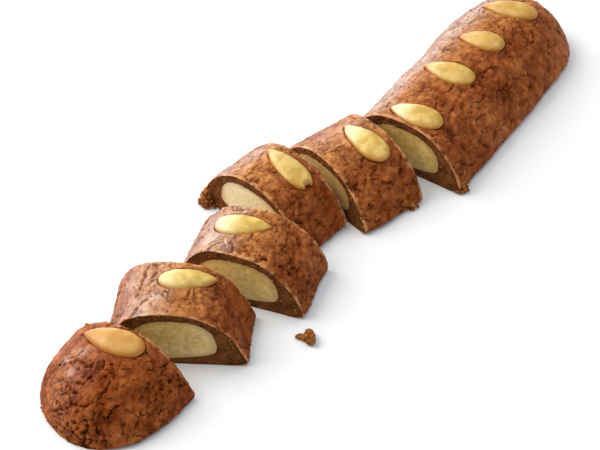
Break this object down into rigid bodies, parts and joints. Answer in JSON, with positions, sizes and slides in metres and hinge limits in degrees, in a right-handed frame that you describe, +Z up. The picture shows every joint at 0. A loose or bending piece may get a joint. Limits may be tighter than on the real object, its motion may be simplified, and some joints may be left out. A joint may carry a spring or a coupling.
{
  "type": "filled speculaas bar",
  "caption": "Spiced biscuit bar with an almond paste core and blanched almond halves on top, one end cut into a heel and slices that stand in line with the uncut rest.",
  "frame": {"origin": "on the ground under the middle of the whole row's outer box", "axes": "+X along the row from the cut-off heel to the uncut rounded end, +Y to its left, +Z up from the flat baked base"},
  "size_m": [0.3086, 0.0834, 0.0279],
  "materials": {
    "crust": "baked, granular and cracked, with a thin egg-wash gloss on top",
    "filling": "matt, moist and fine-grained",
    "almond": "satin, toasted darker at the edge"
  },
  "bodies": {
    "root": {"heel_crust": "crust", "heel_filling": "filling", "heel_almond": "almond", "slice_1_crust": "crust", "slice_1_filling": "filling", "slice_1_almond": "almond", "slice_2_crust": "crust", "slice_2_filling": "filling", "slice_2_almond": "almond", "slice_3_crust": "crust", "slice_3_filling": "filling", "slice_3_almond": "almond", "slice_4_crust": "crust", "slice_4_filling": "filling", "slice_4_almond": "almond", "uncut_crust": "crust", "uncut_filling": "filling", "uncut_almond_1": "almond", "uncut_almond_2": "almond", "uncut_almond_3": "almond", "uncut_almond_4": "almond"}
  },
  "joints": []
}
